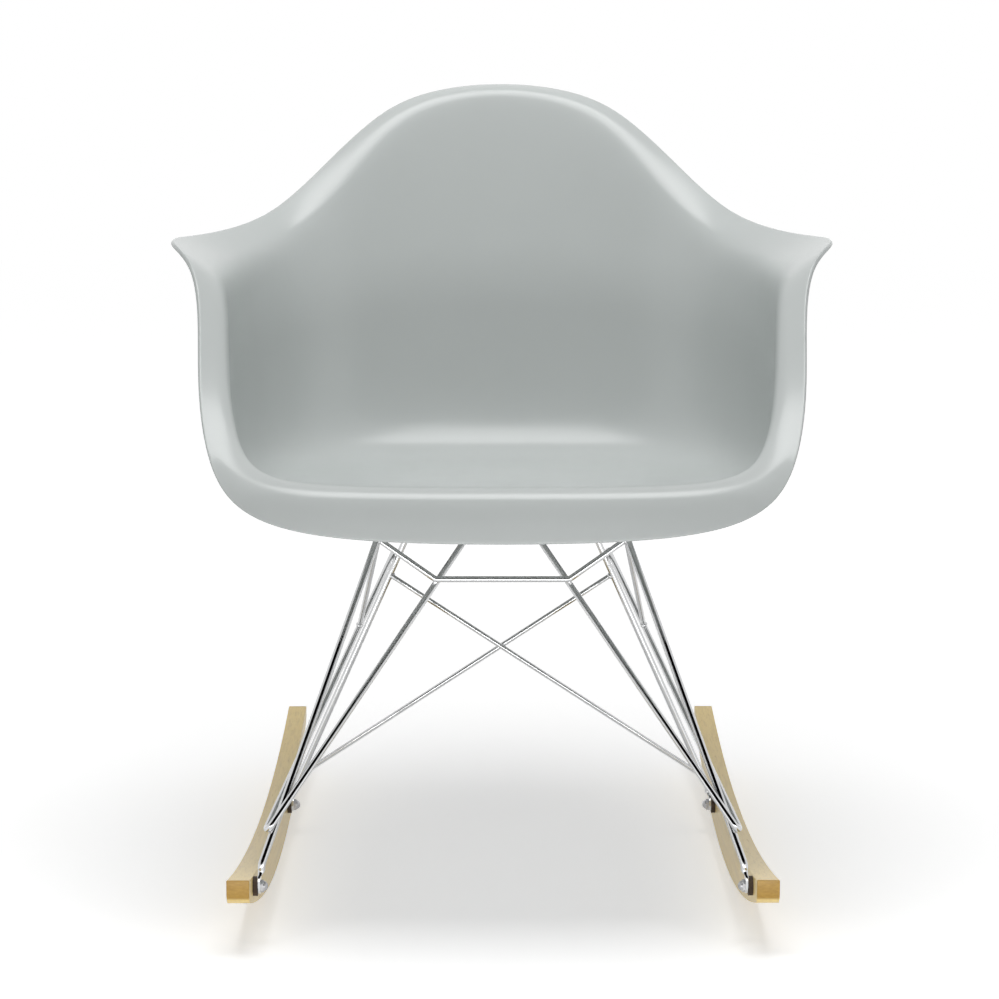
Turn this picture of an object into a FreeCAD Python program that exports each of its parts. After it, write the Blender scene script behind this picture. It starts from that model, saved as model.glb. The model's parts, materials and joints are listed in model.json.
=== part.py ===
import FreeCAD, Part
import math
import os

import Sketcher

# Armchair with a one-piece moulded bucket shell on a bent wire base, bolted to two curved wooden rockers.
# Millimetres, +Z up, +Y to the rear, X across. The origin is on the floor in the middle of the chair.
# Every left piece has a mirrored right one. Left is -X, and a side is -1 on the left and 1 on the right.

V = FreeCAD.Vector
DOWN = V(0, 0, -1)
UP = V(0, 0, 1)
SIDES = (("left", -1), ("right", 1))

# Driving dimensions: name in the sheet, value, what it is
SIZES = [
    ("shell_thickness", 4.5, "wall of the moulded shell"),
    ("pan_reach", 200.0, "distance at which the seat's two rises are given"),
    ("pan_low_height", 374.0, "top of the seat at its lowest place"),
    ("pan_low_y", -10.0, "where the seat is lowest"),
    ("pan_front_rise", 9.5, "rise of the seat that far ahead of its lowest place"),
    ("pan_side_rise", 5.0, "rise of the seat that far to the side"),
    ("pan_centre_y", -60.0, "middle of the seat, where the shell's rings start"),
    ("corner_reach", 50.0, "how far the seat's round corner reaches past the flat part"),
    ("corner_rise", 9.0, "how far it rises in that stretch"),
    ("wall_belly", 7.0, "how far the walls belly outwards low down"),
    ("mount_front_x", 90.0, "front seat fixings, out from the middle"),
    ("mount_front_y", -148.0, "front seat fixings, from the origin"),
    ("mount_rear_x", 60.0, "rear seat fixings, out from the middle"),
    ("mount_rear_y", 58.0, "rear seat fixings, from the origin"),
    ("boss_diameter", 28.0, "moulded boss under the seat"),
    ("boss_drop", 6.0, "boss below the underside of the shell"),
    ("insert_diameter", 9.0, "threaded insert in the boss"),
    ("insert_length", 7.0, "threaded insert in the boss"),
    ("cushion_diameter", 26.0, "rubber cushion between boss and lug"),
    ("cushion_height", 6.0, "rubber cushion between boss and lug"),
    ("lug_thickness", 3.0, "steel lug on the side frame rod"),
    ("lug_width", 22.0, "steel lug on the side frame rod"),
    ("lug_reach", 15.0, "from the rod's axis to the screw's axis"),
    ("screw_diameter", 5.0, "seat screw"),
    ("screw_head_diameter", 10.0, "seat screw"),
    ("screw_head_height", 3.2, "seat screw"),
    ("screw_end_gap", 1.0, "insert past the screw's end"),
    ("socket_width", 4.0, "hexagon socket in the screws and bolts, across flats"),
    ("socket_depth", 2.0, "hexagon socket in the screws and bolts"),
    ("washer_diameter", 15.0, "washer under the seat screw"),
    ("washer_thickness", 1.2, "washer under the seat screw"),
    ("thread_gap", 0.05, "radial gap left between a thread and its nut or insert"),
    ("hole_gap", 0.4, "radial gap round a screw or bolt in a plain hole"),
    ("frame_rod_diameter", 6.5, "side frame rods"),
    ("v_rod_diameter", 6.0, "V rods"),
    ("cross_rod_diameter", 5.6, "tray rod and under-seat cross rod"),
    ("brace_rod_diameter", 5.0, "X braces and short braces"),
    ("weld_sink", 0.2, "how far welded rods sink into each other"),
    ("run_overhang", 12.0, "side frame rod past its lugs before it bends down"),
    ("top_bend_radius", 15.0, "side frame rod under the seat"),
    ("front_foot_bend_radius", 13.0, "side frame rod just above the front foot"),
    ("rear_foot_bend_radius", 12.0, "side frame rod just above the rear foot"),
    ("front_bend_above_bolt", 19.0, "where the front strut turns upright above its bolt"),
    ("rear_bend_above_bolt", 17.0, "where the rear strut turns upright above its bolt"),
    ("swage_length", 5.5, "stretch where the round rod becomes its flat foot"),
    ("tab_below_bolt", 6.5, "flattened foot of the rod, below the bolt's axis"),
    ("tab_height", 15.0, "flattened foot of the rod"),
    ("tab_depth", 13.0, "flattened foot of the rod"),
    ("tab_thickness", 2.6, "flattened foot of the rod"),
    ("spacer_diameter", 17.0, "round spacer between foot and rocker"),
    ("spacer_thickness", 4.0, "round spacer between foot and rocker"),
    ("bolt_diameter", 6.0, "foot bolt"),
    ("bolt_head_diameter", 12.0, "countersunk head of the foot bolt"),
    ("nut_flats", 10.0, "dome nut across flats"),
    ("nut_hexagon_height", 2.4, "dome nut's hexagon"),
    ("nut_dome_radius", 4.8, "dome nut's ball"),
    ("nut_dome_centre", 1.4, "dome nut's ball, above the nut's base"),
    ("nut_thread_depth", 4.0, "thread in the dome nut"),
    ("bolt_end_gap", 0.5, "thread in the dome nut past the bolt's end"),
    ("v_vertex_above_bolt", 41.1, "where the V rod's two legs would meet, above the front bolt"),
    ("v_vertex_out", 7.7, "that point outside the front strut"),
    ("v_vertex_ahead", 10.4, "that point ahead of the front strut"),
    ("v_bend_radius", 4.8, "V rod's hook round the front strut"),
    ("v_top_x", 20.8, "V rod's front leg under the seat, from the middle"),
    ("v_rear_weld_drop", 67.0, "V rod's weld on the rear strut, below the strut's top"),
    ("v_rear_overhang", 5.0, "V rod's rear leg past that weld"),
    ("cross_rod_y", -131.0, "under-seat cross rod"),
    ("tray_drop", 56.6, "tray rod's level stretch, below the front struts' tops"),
    ("tray_end_drop", 19.6, "tray rod's ends on the front struts, below their tops"),
    ("tray_bend_radius", 7.0, "tray rod"),
    ("tray_bend_out", 3.5, "tray rod's bend past the V rod's leg"),
    ("short_brace_drop", 11.6, "short brace on the front strut, below the strut's top"),
    ("short_brace_foot_drop", 124.5, "short brace on the V rod's rear leg, below the front strut's top"),
    ("x_brace_drop", 86.7, "X brace's upper end, below the rear strut's top"),
    ("x_brace_above_bolt", 30.6, "X brace's lower end, above the rear bolt"),
    ("rocker_length", 690.0, "rocker, end to end"),
    ("rocker_width", 19.7, "rocker, across"),
    ("rocker_outer_x", 237.3, "rocker's outer face, from the middle"),
    ("rocker_waist", 39.4, "top of the rocker at its lowest place, above the floor"),
    ("rocker_top_radius", 1933.0, "curve of the rocker's top"),
    ("rocker_top_low_y", -14.0, "where the rocker's top is lowest"),
    ("rocker_front_radius", 1070.0, "curve of the sole ahead of where it touches the floor"),
    ("rocker_rear_radius", 1250.0, "curve of the sole behind that place"),
    ("rocker_contact_y", -28.0, "where the rocker touches the floor at rest, under the mass"),
    ("rocker_tip_radius", 9.0, "rounding under the rocker's tips"),
    ("rocker_edge_radius", 2.2, "rounding along the rocker's edges"),
    ("front_bolt_y", -307.0, "front foot bolt"),
    ("front_bolt_below_top", 9.5, "front foot bolt below the rocker's top"),
    ("rear_bolt_y", 72.0, "rear foot bolt"),
    ("rear_bolt_below_top", 12.5, "rear foot bolt below the rocker's top"),
]

# The shell's stations, from the middle of the front lip round the side to the middle of the back's top.
# Each has its rim, the fold where the wall turns out to the rim, the foot where the seat turns up,
# and the turn, which says how far out the roll goes before it changes height.
STATIONS = [
    ("lip", (0, -333, 358), (0, -308, 403), (0, -205), 0.86),
    ("lip_half", (115, -331, 360), (110, -306, 403), (92, -204), 0.86),
    ("lip_end", (195, -321, 369), (181, -297, 405), (152, -198), 0.82),
    ("corner", (240, -294, 391), (218, -274, 414), (180, -183), 0.70),
    ("edge_low", (259, -254, 430), (236, -236, 438), (188, -160), 0.60),
    ("edge_mid", (269, -204, 484), (247, -188, 484), (192, -138), 0.55),
    ("edge_high", (271, -158, 545), (250, -146, 540), (195, -114), 0.50),
    ("arm_nose", (281, -120, 590), (254, -110, 566), (196, -90), 0.50),
    ("arm_tip", (313, -76, 607), (257, -66, 573), (196, -60), 0.50),
    ("arm_mid", (303, 15, 606), (256, 15, 574), (191, -22), 0.50),
    ("arm_rear", (275, 95, 609), (243, 88, 583), (176, 20), 0.48),
    ("shoulder", (230, 172, 625), (205, 156, 605), (144, 58), 0.45),
    ("back_side", (178, 228, 681), (158, 208, 664), (100, 82), 0.42),
    ("crown", (120, 264, 738), (108, 245, 722), (58, 94), 0.38),
    ("top_half", (61, 283, 757), (55, 263, 742), (27, 99), 0.32),
    ("top", (0, 288, 762), (0, 268, 747), (0, 100), 0.30),
]

AXES = ("x", "y", "z")

# Control rows of the shell, as shares of the way over the flat seat and up the wall.
# The wall's rows also have their share of the belly.
NEAR_SHARE = 0.22
FLAT_SHARES = (0.6, 1.0)
WALL_SHARES = ((0.28, 1.0), (0.58, 0.6), (0.84, 0.0))
DEGREE = 3

doc = FreeCAD.newDocument("RockingChair")
sheet = doc.addObject("Spreadsheet::Sheet", "Sizes")
row_count = 0
pieces = []


def add_size(alias, value, meaning):
    """One row of the sheet: what the size is, and its value under an alias."""
    global row_count
    row_count += 1
    sheet.set("A%d" % row_count, meaning)
    sheet.set("B%d" % row_count, "%g" % value)
    sheet.setAlias("B%d" % row_count, alias)


for alias, value, meaning in SIZES:
    add_size(alias, value, meaning)
for station, rim, fold, foot, turn in STATIONS:
    for ring, point in (("rim", rim), ("fold", fold), ("foot", foot)):
        for axis, value in zip(AXES, point):
            add_size("%s_%s_%s" % (station, ring, axis), value, "shell's %s at the %s" % (ring, station))
    add_size("%s_turn" % station, turn, "shell's roll at the %s" % station)
doc.recompute()


def size(alias):
    return float(sheet.get(alias))


def finish(feature, label):
    """Give a sub-part the name of its file."""
    feature.Label = label
    pieces.append(feature)
    return feature


def along(start, end, share):
    return start + (end - start) * share


def at_height(low, high, height):
    """The point of the line from low to high that is at a height."""
    return along(low, high, (height - low.z) / (high.z - low.z))


def mirrored(point):
    return V(-point.x, point.y, point.z)


# Shell


def pan_height(x, y):
    """Top of the flat part of the seat."""
    ahead = (size("pan_low_y") - y) / size("pan_reach")
    beside = x / size("pan_reach")
    return size("pan_low_height") + size("pan_front_rise") * ahead ** 2 + size("pan_side_rise") * beside ** 2


def station_rows(station):
    """Control points of the shell's upper surface from the seat's middle out to the rim."""
    centre_y = size("pan_centre_y")
    slope = -2 * size("pan_front_rise") * (size("pan_low_y") - centre_y) / size("pan_reach") ** 2
    foot = V(size(station + "_foot_x"), size(station + "_foot_y"), 0)
    fold = V(*(size("%s_fold_%s" % (station, axis)) for axis in AXES))
    rim = V(*(size("%s_rim_%s" % (station, axis)) for axis in AXES))
    turn = size(station + "_turn")
    centre = V(0, centre_y, pan_height(0, centre_y))
    rows = [centre]
    near = V(foot.x * NEAR_SHARE, centre_y + (foot.y - centre_y) * NEAR_SHARE, 0)
    near.z = centre.z + slope * (near.y - centre_y)
    rows.append(near)
    for share in FLAT_SHARES:
        point = V(foot.x * share, centre_y + (foot.y - centre_y) * share, 0)
        point.z = pan_height(point.x, point.y)
        rows.append(point)
    outward = V(fold.x - foot.x, fold.y - foot.y, 0).normalize()
    corner = rows[-1] + outward * size("corner_reach") + UP * size("corner_rise")
    rows.append(corner)
    for share, belly in WALL_SHARES:
        rows.append(along(corner, fold, share) + outward * (belly * size("wall_belly")))
    rows.append(fold)
    roll = rim - fold
    rows.append(fold + V(roll.x * turn, roll.y * turn, roll.z * (1 - turn)))
    rows.append(rim)
    return rows


def net_normal(net, j, i):
    """Normal of the control net, out of the underside."""
    count = len(net)
    round_way = net[(j + 1) % count][i] - net[(j - 1) % count][i]
    out_way = net[j][min(i + 1, len(net[j]) - 1)] - net[j][i - 1]
    return out_way.cross(round_way).normalize()


def shell_solid():
    """Upper skin, round edge and underside as one closed surface, smooth all round."""
    half = [station_rows(row[0]) for row in STATIONS]
    left = [[mirrored(point) for point in rows] for rows in half]
    net = left + half[-2:0:-1]
    thickness = size("shell_thickness")
    poles = []
    for j, upper in enumerate(net):
        under = [upper[0] + DOWN * thickness]
        for i in range(1, len(upper)):
            under.append(upper[i] + net_normal(net, j, i) * thickness)
        edge_way = (upper[-1] - upper[-2]).normalize() * (thickness / 2)
        poles.append(upper + [upper[-1] + edge_way, under[-1] + edge_way] + under[::-1])
    stations = len(poles)
    across = len(poles[0])
    surface = Part.BSplineSurface()
    surface.buildFromPolesMultsKnots(
        poles,
        [1] * (stations + 1),
        [DEGREE + 1] + [1] * (across - DEGREE - 1) + [DEGREE + 1],
        list(range(stations + 1)),
        list(range(across - DEGREE + 1)),
        True,
        False,
        DEGREE,
        DEGREE,
    )
    solid = Part.Solid(Part.Shell([surface.toShape()]))
    if solid.Volume < 0:
        solid.reverse()
    return solid


def underside_height(solid, x, y):
    """Height of the shell's lower skin above a place on the floor."""
    ray = Part.LineSegment(V(x, y, 0), V(x, y, 2 * size("pan_low_height"))).toShape()
    return min(vertex.Z for vertex in solid.common(ray).Vertexes)


def boss_places():
    """Where the four seat fixings are: name, and place on the floor."""
    for name, sign, end in (
        ("front_left", -1, "front"),
        ("front_right", 1, "front"),
        ("rear_left", -1, "rear"),
        ("rear_right", 1, "rear"),
    ):
        yield name, V(sign * size("mount_%s_x" % end), size("mount_%s_y" % end), 0)


def cylinder(name, radius, height, base, direction=UP):
    """A cylinder whose radius and height are expressions on the sheet."""
    solid = doc.addObject("Part::Cylinder", name)
    solid.setExpression("Radius", radius)
    solid.setExpression("Height", height)
    solid.Placement = FreeCAD.Placement(base, FreeCAD.Rotation(UP, direction))
    return solid


def cone(name, radius_low, radius_high, height, base, direction=UP):
    """A cone whose radii and height are expressions on the sheet."""
    solid = doc.addObject("Part::Cone", name)
    solid.setExpression("Radius1", radius_low)
    solid.setExpression("Radius2", radius_high)
    solid.setExpression("Height", height)
    solid.Placement = FreeCAD.Placement(base, FreeCAD.Rotation(UP, direction))
    return solid


def hexagon(name, flats, height, base, direction=UP):
    """A hexagonal prism whose width across flats and height are expressions on the sheet."""
    solid = doc.addObject("Part::Prism", name)
    solid.Polygon = 6
    solid.setExpression("Circumradius", "(%s) / sqrt(3)" % flats)
    solid.setExpression("Height", height)
    solid.Placement = FreeCAD.Placement(base, FreeCAD.Rotation(UP, direction))
    return solid


def joined(name, *solids):
    """One solid out of several that touch or overlap."""
    result = doc.addObject("Part::MultiFuse", name)
    result.Shapes = list(solids)
    return result


def cut(name, base, *tools):
    """The base without its tools, one cut after the other."""
    result = base
    for count, tool in enumerate(tools):
        step = doc.addObject("Part::Cut", "%s_%d" % (name, count))
        step.Base = result
        step.Tool = tool
        result = step
    return result


def group(name, solids):
    """Identical fasteners as one sub-part of separate solids."""
    result = doc.addObject("Part::Compound", name)
    result.Links = solids
    return finish(result, name)


bare_shell = shell_solid()
skin_height = {}
for fixing, place in boss_places():
    skin_height[fixing] = underside_height(bare_shell, place.x, place.y)


def fixing_level(fixing, below):
    """Height of a layer of the seat fixing, so far below the underside of the shell."""
    return skin_height[fixing] - below


def make_shell():
    """The moulded shell with its four bosses, each with a blind hole for its insert."""
    shell = doc.addObject("Part::Feature", "BareShell")
    shell.Shape = bare_shell
    boss_height = "Sizes.boss_drop + Sizes.shell_thickness / 2"
    insert_radius = "Sizes.insert_diameter / 2"
    bosses = []
    holes = []
    for fixing, place in boss_places():
        base = V(place.x, place.y, fixing_level(fixing, size("boss_drop")))
        bosses.append(cylinder("Boss_" + fixing, "Sizes.boss_diameter / 2", boss_height, base))
        holes.append(cylinder("InsertHole_" + fixing, insert_radius, "Sizes.insert_length", base))
    finish(cut("SeatShell", joined("ShellWithBosses", shell, *bosses), *holes), "seat_shell")


def make_fixings():
    """Insert, rubber cushion, lug, washer and screw of each seat fixing."""
    inserts = []
    washers = []
    screws = []
    thread = "Sizes.screw_diameter / 2 + Sizes.thread_gap"
    clearance = "Sizes.screw_diameter / 2 + Sizes.hole_gap"
    head_radius = "Sizes.screw_head_diameter / 2"
    insert_radius = "Sizes.insert_diameter / 2"
    washer_radius = "Sizes.washer_diameter / 2"
    for fixing, place in boss_places():
        boss_end = V(place.x, place.y, fixing_level(fixing, size("boss_drop")))
        lug_top = boss_end + DOWN * size("cushion_height")
        lug_end = lug_top + DOWN * size("lug_thickness")
        washer_end = lug_end + DOWN * size("washer_thickness")
        inserts.append(
            cut(
                "Insert_" + fixing,
                cylinder("InsertBody_" + fixing, insert_radius, "Sizes.insert_length", boss_end),
                cylinder("InsertThread_" + fixing, thread, "Sizes.insert_length", boss_end),
            )
        )
        cushion = cut(
            "Cushion_" + fixing,
            cylinder("CushionBody_" + fixing, "Sizes.cushion_diameter / 2", "Sizes.cushion_height", lug_top),
            cylinder("CushionHole_" + fixing, clearance, "Sizes.cushion_height", lug_top),
        )
        finish(cushion, "seat_cushion_" + fixing)
        washers.append(
            cut(
                "Washer_" + fixing,
                cylinder("WasherBody_" + fixing, washer_radius, "Sizes.washer_thickness", washer_end),
                cylinder("WasherHole_" + fixing, clearance, "Sizes.washer_thickness", washer_end),
            )
        )
        make_lug(fixing, lug_end)
        head_end = washer_end + DOWN * size("screw_head_height")
        shank = "Sizes.washer_thickness + Sizes.lug_thickness + Sizes.cushion_height"
        shank += " + Sizes.insert_length - Sizes.screw_end_gap"
        screws.append(
            cut(
                "Screw_" + fixing,
                joined(
                    "ScrewBody_" + fixing,
                    cylinder("ScrewHead_" + fixing, head_radius, "Sizes.screw_head_height", head_end),
                    cylinder("ScrewShank_" + fixing, "Sizes.screw_diameter / 2", shank, washer_end),
                ),
                hexagon("ScrewSocket_" + fixing, "Sizes.socket_width", "Sizes.socket_depth", head_end),
            )
        )
    group("boss_inserts", inserts)
    group("seat_washers", washers)
    group("seat_screws", screws)


def make_lug(fixing, base):
    """Flat steel lug with a round end, from over the side frame rod to the screw."""
    side = 1 if base.x > 0 else -1
    plate = doc.addObject("Part::Box", "LugPlate_" + fixing)
    plate.setExpression("Length", "Sizes.lug_reach + Sizes.frame_rod_diameter / 2")
    plate.setExpression("Width", "Sizes.lug_width")
    plate.setExpression("Height", "Sizes.lug_thickness")
    corner = base + V(0, -size("lug_width") / 2, 0)
    if side < 0:
        corner = corner - V(size("lug_reach") + size("frame_rod_diameter") / 2, 0, 0)
    plate.Placement.Base = corner
    hole = "Sizes.screw_diameter / 2 + Sizes.hole_gap"
    lug = cut(
        "Lug_" + fixing,
        joined(
            "LugBody_" + fixing,
            plate,
            cylinder("LugEnd_" + fixing, "Sizes.lug_width / 2", "Sizes.lug_thickness", base),
        ),
        cylinder("LugHole_" + fixing, hole, "Sizes.lug_thickness", base),
    )
    finish(lug, "seat_lug_" + fixing)


# Wire base


def bent_wire(points, radii):
    """A path of straight runs joined by tangent arcs. radii has one value for each inner point."""
    edges = []
    start = points[0]
    for before, corner, after, radius in zip(points, points[1:], points[2:], radii):
        back = (before - corner).normalize()
        ahead = (after - corner).normalize()
        half_angle = back.getAngle(ahead) / 2
        reach = radius / math.tan(half_angle)
        bisector = (back + ahead).normalize()
        middle = corner + bisector * (radius / math.sin(half_angle) - radius)
        edges.append(Part.LineSegment(start, corner + back * reach).toShape())
        edges.append(Part.Arc(corner + back * reach, middle, corner + ahead * reach).toShape())
        start = corner + ahead * reach
    edges.append(Part.LineSegment(start, points[-1]).toShape())
    return Part.Wire(edges)


def rod(name, points, radii, diameter):
    """A round rod bent along its points."""
    wire = bent_wire(points, radii)
    circle = Part.Wire([Part.Circle(points[0], points[1] - points[0], diameter / 2).toShape()])
    feature = doc.addObject("Part::Feature", name)
    feature.Shape = wire.makePipeShell([circle], True, False)
    return feature


def rocker_top(y):
    """Height of the rocker's top face."""
    radius = size("rocker_top_radius")
    return size("rocker_waist") + radius - math.sqrt(radius ** 2 - (y - size("rocker_top_low_y")) ** 2)


def bolt_place(end, side):
    """Axis of a foot bolt in the rocker's inner face."""
    y = size("%s_bolt_y" % end)
    x = size("rocker_outer_x") - size("rocker_width")
    return V(side * x, y, rocker_top(y) - size("%s_bolt_below_top" % end))


def side_frame_points():
    """Corners of the left side frame rod, from the front foot to the rear foot."""
    rod_radius = size("frame_rod_diameter") / 2
    foot_x = size("rocker_outer_x") - size("rocker_width") - size("spacer_thickness") - rod_radius
    front_bolt = bolt_place("front", -1)
    rear_bolt = bolt_place("rear", -1)
    round_from = size("tab_height") - size("tab_below_bolt") + size("swage_length")
    stack = size("boss_drop") + size("cushion_height") + size("lug_thickness")
    axis_drop = stack + rod_radius - size("weld_sink")
    run = []
    for end in ("front", "rear"):
        x = -size("mount_%s_x" % end) - size("lug_reach")
        run.append(V(x, size("mount_%s_y" % end), fixing_level(end + "_left", axis_drop)))
    way = (run[1] - run[0]).normalize() * size("run_overhang")
    return [
        V(-foot_x, front_bolt.y, front_bolt.z + round_from),
        V(-foot_x, front_bolt.y, front_bolt.z + size("front_bend_above_bolt")),
        run[0] - way,
        run[1] + way,
        V(-foot_x, rear_bolt.y, rear_bolt.z + size("rear_bend_above_bolt")),
        V(-foot_x, rear_bolt.y, rear_bolt.z + round_from),
    ]


FRAME = side_frame_points()
FRONT_STRUT = (FRAME[1], FRAME[2])
REAR_STRUT = (FRAME[4], FRAME[3])


def below_top(strut, drop):
    """The point of a strut that is a named drop below the strut's top."""
    return at_height(*strut, strut[1].z - size(drop))


def sided(points, side):
    """Points of the left side, or their mirror on the right."""
    return points if side < 0 else [mirrored(point) for point in points]


def swage(name, rod_end, tab):
    """The stretch from the rod's round end down to the top of its flat foot."""
    radius = size("frame_rod_diameter") / 2
    tab_top = tab.Placement.Base + V(tab.Length.Value / 2, tab.Width.Value / 2, tab.Height.Value)
    tab_half_x = tab.Length.Value / 2
    tab_half_y = tab.Width.Value / 2
    corners = ((-1, -1), (1, -1), (1, 1), (-1, 1))
    circle = []
    square = []
    for (x, y), (next_x, next_y) in zip(corners, corners[1:] + corners[:1]):
        diagonal = radius / math.sqrt(2)
        middle = V(x + next_x, y + next_y, 0).normalize() * radius
        start = rod_end + V(x, y, 0) * diagonal
        end = rod_end + V(next_x, next_y, 0) * diagonal
        circle.append(Part.Arc(start, rod_end + middle, end).toShape())
        low = tab_top + V(x * tab_half_x, y * tab_half_y, 0)
        next_low = tab_top + V(next_x * tab_half_x, next_y * tab_half_y, 0)
        square.append(Part.LineSegment(low, next_low).toShape())
    feature = doc.addObject("Part::Feature", name)
    feature.Shape = Part.makeLoft([Part.Wire(circle), Part.Wire(square)], True, True)
    return feature


def make_side_frame(name, side):
    """Side frame rod: foot, front strut, run under the seat, rear strut, foot."""
    bend = size("top_bend_radius")
    points = sided(FRAME, side)
    radii = [size("front_foot_bend_radius"), bend, bend, size("rear_foot_bend_radius")]
    solids = [rod("Rod_" + name, points, radii, size("frame_rod_diameter"))]
    holes = []
    for end, rod_end in (("front", points[0]), ("rear", points[-1])):
        place = bolt_place(end, side)
        tab = doc.addObject("Part::Box", "Tab_%s_%s" % (end, name))
        tab.setExpression("Length", "Sizes.tab_thickness")
        tab.setExpression("Width", "Sizes.tab_depth")
        tab.setExpression("Height", "Sizes.tab_height")
        low_x = place.x - side * size("spacer_thickness")
        if side > 0:
            low_x = low_x - size("tab_thickness")
        tab.Placement.Base = V(low_x, place.y - size("tab_depth") / 2, place.z - size("tab_below_bolt"))
        doc.recompute()
        solids.append(tab)
        solids.append(swage("Swage_%s_%s" % (end, name), rod_end, tab))
        hole = "Sizes.bolt_diameter / 2 + Sizes.hole_gap"
        start = V(low_x, place.y, place.z)
        holes.append(cylinder("TabHole_%s_%s" % (end, name), hole, "Sizes.tab_thickness", start, V(1, 0, 0)))
    finish(cut("Frame_" + name, joined("FrameBody_" + name, *solids), *holes), "side_frame_" + name)


def v_rod_points():
    """Left V rod, from its end on the rear strut to the hook and up under the seat."""
    vertex = at_height(*FRONT_STRUT, bolt_place("front", -1).z + size("v_vertex_above_bolt"))
    vertex = vertex + V(-size("v_vertex_out"), -size("v_vertex_ahead"), 0)
    weld = below_top(REAR_STRUT, "v_rear_weld_drop")
    outward = (REAR_STRUT[1] - REAR_STRUT[0]).cross(weld - vertex).normalize()
    if outward.x > 0:
        outward = -outward
    weld = weld + outward * ((size("frame_rod_diameter") + size("v_rod_diameter")) / 2 - size("weld_sink"))
    rear_end = weld + (weld - vertex).normalize() * size("v_rear_overhang")
    return [rear_end, vertex, V(-size("v_top_x"), size("cross_rod_y"), CROSS_ROD_END.z)]


def cross_rod_end():
    """Left end of the under-seat cross rod, which hangs under the side frames' runs."""
    share = (size("cross_rod_y") - FRAME[2].y) / (FRAME[3].y - FRAME[2].y)
    run = along(FRAME[2], FRAME[3], share)
    drop = (size("frame_rod_diameter") + size("cross_rod_diameter")) / 2 - size("weld_sink")
    return V(run.x - size("frame_rod_diameter") / 2, size("cross_rod_y"), run.z - drop)


CROSS_ROD_END = cross_rod_end()
V_ROD = v_rod_points()


def tray_points():
    """Corners of the tray rod, which lies against the front of the V rods' front legs."""
    leg = V_ROD[2] - V_ROD[1]
    touching = (size("v_rod_diameter") + size("cross_rod_diameter")) / 2 - size("weld_sink")
    ahead = touching * math.hypot(leg.y, leg.z) / leg.z
    level = FRONT_STRUT[1].z - size("tray_drop")
    bend = at_height(V_ROD[1], V_ROD[2], level) - V(size("tray_bend_out"), ahead, 0)
    end = below_top(FRONT_STRUT, "tray_end_drop")
    return [end, bend, mirrored(bend), mirrored(end)]


def make_wire_base():
    """All rods of the base."""
    for name, side in SIDES:
        make_side_frame(name, side)
    doc.recompute()
    frames = {name: doc.getObjectsByLabel("side_frame_" + name)[0] for name, side in SIDES}

    cross = rod("CrossRod", [CROSS_ROD_END, mirrored(CROSS_ROD_END)], [], size("cross_rod_diameter"))
    finish(cross, "under_seat_cross_rod")

    for name, side in SIDES:
        points = sided(V_ROD, side)
        v_rod = rod("VRod_" + name, points, [size("v_bend_radius")], size("v_rod_diameter"))
        finish(cut("VRodCut_" + name, v_rod, cross), "v_rod_" + name)

    tray = rod("TrayRod", tray_points(), [size("tray_bend_radius")] * 2, size("cross_rod_diameter"))
    finish(cut("TrayRodCut", tray, frames["left"], frames["right"]), "tray_rod")

    top = below_top(FRONT_STRUT, "short_brace_drop")
    foot = at_height(V_ROD[1], V_ROD[0], FRONT_STRUT[1].z - size("short_brace_foot_drop"))
    for name, side in SIDES:
        brace = rod("ShortBrace_" + name, sided([top, foot], side), [], size("brace_rod_diameter"))
        v_rod = doc.getObject("VRod_" + name)
        finish(cut("ShortBraceCut_" + name, brace, frames[name], v_rod), "short_brace_" + name)

    high = below_top(REAR_STRUT, "x_brace_drop")
    low = mirrored(at_height(*REAR_STRUT, bolt_place("rear", -1).z + size("x_brace_above_bolt")))
    apart = (size("brace_rod_diameter") - size("weld_sink")) / 2
    for name, side in (("front", -1), ("rear", 1)):
        away = V(0, side * apart, 0)
        points = [point + away for point in sided([high, low], side)]
        brace = rod("XBrace_" + name, points, [], size("brace_rod_diameter"))
        finish(cut("XBraceCut_" + name, brace, frames["left"], frames["right"]), "x_brace_" + name)


# Rockers and feet


def arc_above(radius, low_y, low_z, start_y, end_y):
    """Arc of the rocker's outline, whose lowest point is at low_y and low_z."""
    circle = Part.Circle(V(low_y, low_z + radius, 0), V(0, 0, 1), radius)
    lowest = 1.5 * math.pi
    start = lowest + math.asin((start_y - low_y) / radius)
    end = lowest + math.asin((end_y - low_y) / radius)
    return Part.ArcOfCircle(circle, start, end)


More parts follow.
